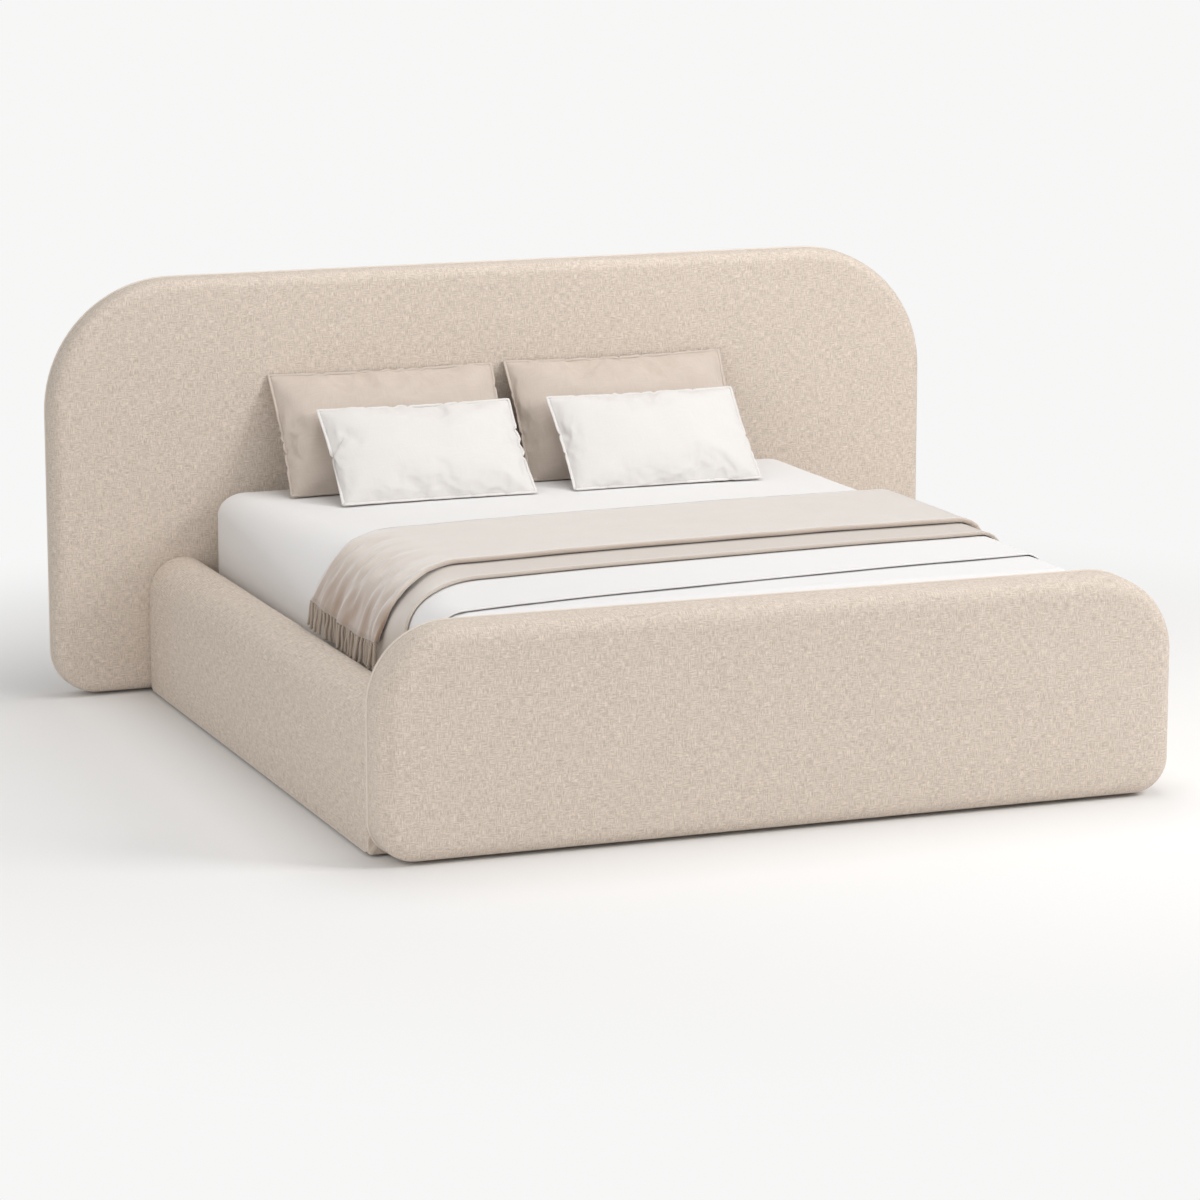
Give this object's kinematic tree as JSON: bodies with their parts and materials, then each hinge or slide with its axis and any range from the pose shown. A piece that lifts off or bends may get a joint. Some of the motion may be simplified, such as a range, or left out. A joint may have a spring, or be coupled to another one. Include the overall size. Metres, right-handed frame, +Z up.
{
  "type": "box spring bed",
  "caption": "Upholstered box spring bed with a wide rounded headboard, a low rounded footboard and full-round side rails, made up with sheets, coverlet, fringed throw, pillows and cushions",
  "frame": {"origin": "on the floor, in the middle of the bed's footprint", "axes": "+X across the bed to the right seen from the foot end, +Y from the footboard to the headboard, +Z up"},
  "size_m": [2.728, 2.275, 1.203],
  "materials": {
    "upholstery": "slubby cream-beige woven linen chenille",
    "back_cloth": "thin spunbond cloth",
    "upholstery_foam": "polyurethane foam",
    "timber": "planed softwood",
    "plywood": "birch plywood",
    "black_steel": "black powder coat",
    "zinc_steel": "zinc plated",
    "glide_felt": "matt moulded",
    "spring_box_ticking": "woven ticking",
    "spring_pockets": "spunbond pockets round steel coils",
    "seat_foam": "cold foam",
    "mattress_ticking": "knitted ticking",
    "white_cotton": "smooth percale",
    "coverlet_cloth": "smooth sateen",
    "throw_wool": "fine brushed twill",
    "taupe_linen": "washed linen",
    "white_linen": "washed linen",
    "cushion_fibre": "polyester fibre"
  },
  "bodies": {
    "bed_frame": {"headboard_cover": "upholstery", "footboard_cover": "upholstery", "rail_cover_left": "upholstery", "rail_cover_right": "upholstery", "headboard_back_cloth": "back_cloth", "footboard_base_cloth": "back_cloth", "headboard_foam": "upholstery_foam", "footboard_foam": "upholstery_foam", "rail_foam_left": "upholstery_foam", "rail_foam_right": "upholstery_foam", "headboard_frame": "timber", "footboard_frame": "timber", "headboard_fixing_blocks": "timber", "footboard_fixing_blocks": "timber", "rail_board_left": "timber", "rail_board_right": "timber", "rail_spacers": "timber", "ledgers": "timber", "slats": "timber", "centre_beam": "timber", "centre_legs": "timber", "headboard_panel": "plywood", "footboard_panel": "plywood", "rail_panels": "plywood", "rail_corner_brackets": "black_steel", "beam_hangers": "black_steel", "frame_bolts": "zinc_steel", "ledger_screws": "zinc_steel", "slat_screws": "zinc_steel", "floor_glides": "glide_felt"},
    "spring_base": {"spring_box_frame_left": "timber", "spring_box_frame_right": "timber", "spring_box_decks": "plywood", "spring_box_ticking_left": "spring_box_ticking", "spring_box_ticking_right": "spring_box_ticking", "spring_box_springs_left": "spring_pockets", "spring_box_springs_right": "spring_pockets", "spring_box_top_foam_left": "seat_foam", "spring_box_top_foam_right": "seat_foam", "spring_box_wall_foam": "seat_foam"},
    "mattress": {"mattress_fitted_sheet": "white_cotton", "mattress_ticking": "mattress_ticking", "mattress_base_foam": "seat_foam", "mattress_wall_foam": "seat_foam", "mattress_top_foam": "seat_foam", "mattress_springs": "spring_pockets", "top_sheet": "white_cotton", "coverlet": "coverlet_cloth", "throw": "throw_wool", "throw_fringe": "throw_wool"},
    "pillow_left": {"pillow_cover_left": "taupe_linen", "pillow_filling_left": "cushion_fibre"},
    "cushion_left": {"cushion_cover_left": "white_linen", "cushion_filling_left": "cushion_fibre"},
    "pillow_right": {"pillow_cover_right": "taupe_linen", "pillow_filling_right": "cushion_fibre"},
    "cushion_right": {"cushion_cover_right": "white_linen", "cushion_filling_right": "cushion_fibre"}
  },
  "joints": [
    {"name": "spring_base_lift", "type": "slide", "parent": "bed_frame", "child": "spring_base", "axis": [0, 0, 1], "range_m": [0, 0.5]},
    {"name": "mattress_lift", "type": "slide", "parent": "spring_base", "child": "mattress", "axis": [0, 0, 1], "range_m": [0, 0.32]},
    {"name": "pillow_left_lift", "type": "slide", "parent": "mattress", "child": "pillow_left", "axis": [0, 0, 1], "range_m": [0, 0.3]},
    {"name": "cushion_left_lift", "type": "slide", "parent": "pillow_left", "child": "cushion_left", "axis": [0, 0, 1], "range_m": [0, 0.3]},
    {"name": "pillow_right_lift", "type": "slide", "parent": "mattress", "child": "pillow_right", "axis": [0, 0, 1], "range_m": [0, 0.3]},
    {"name": "cushion_right_lift", "type": "slide", "parent": "pillow_right", "child": "cushion_right", "axis": [0, 0, 1], "range_m": [0, 0.3]}
  ]
}
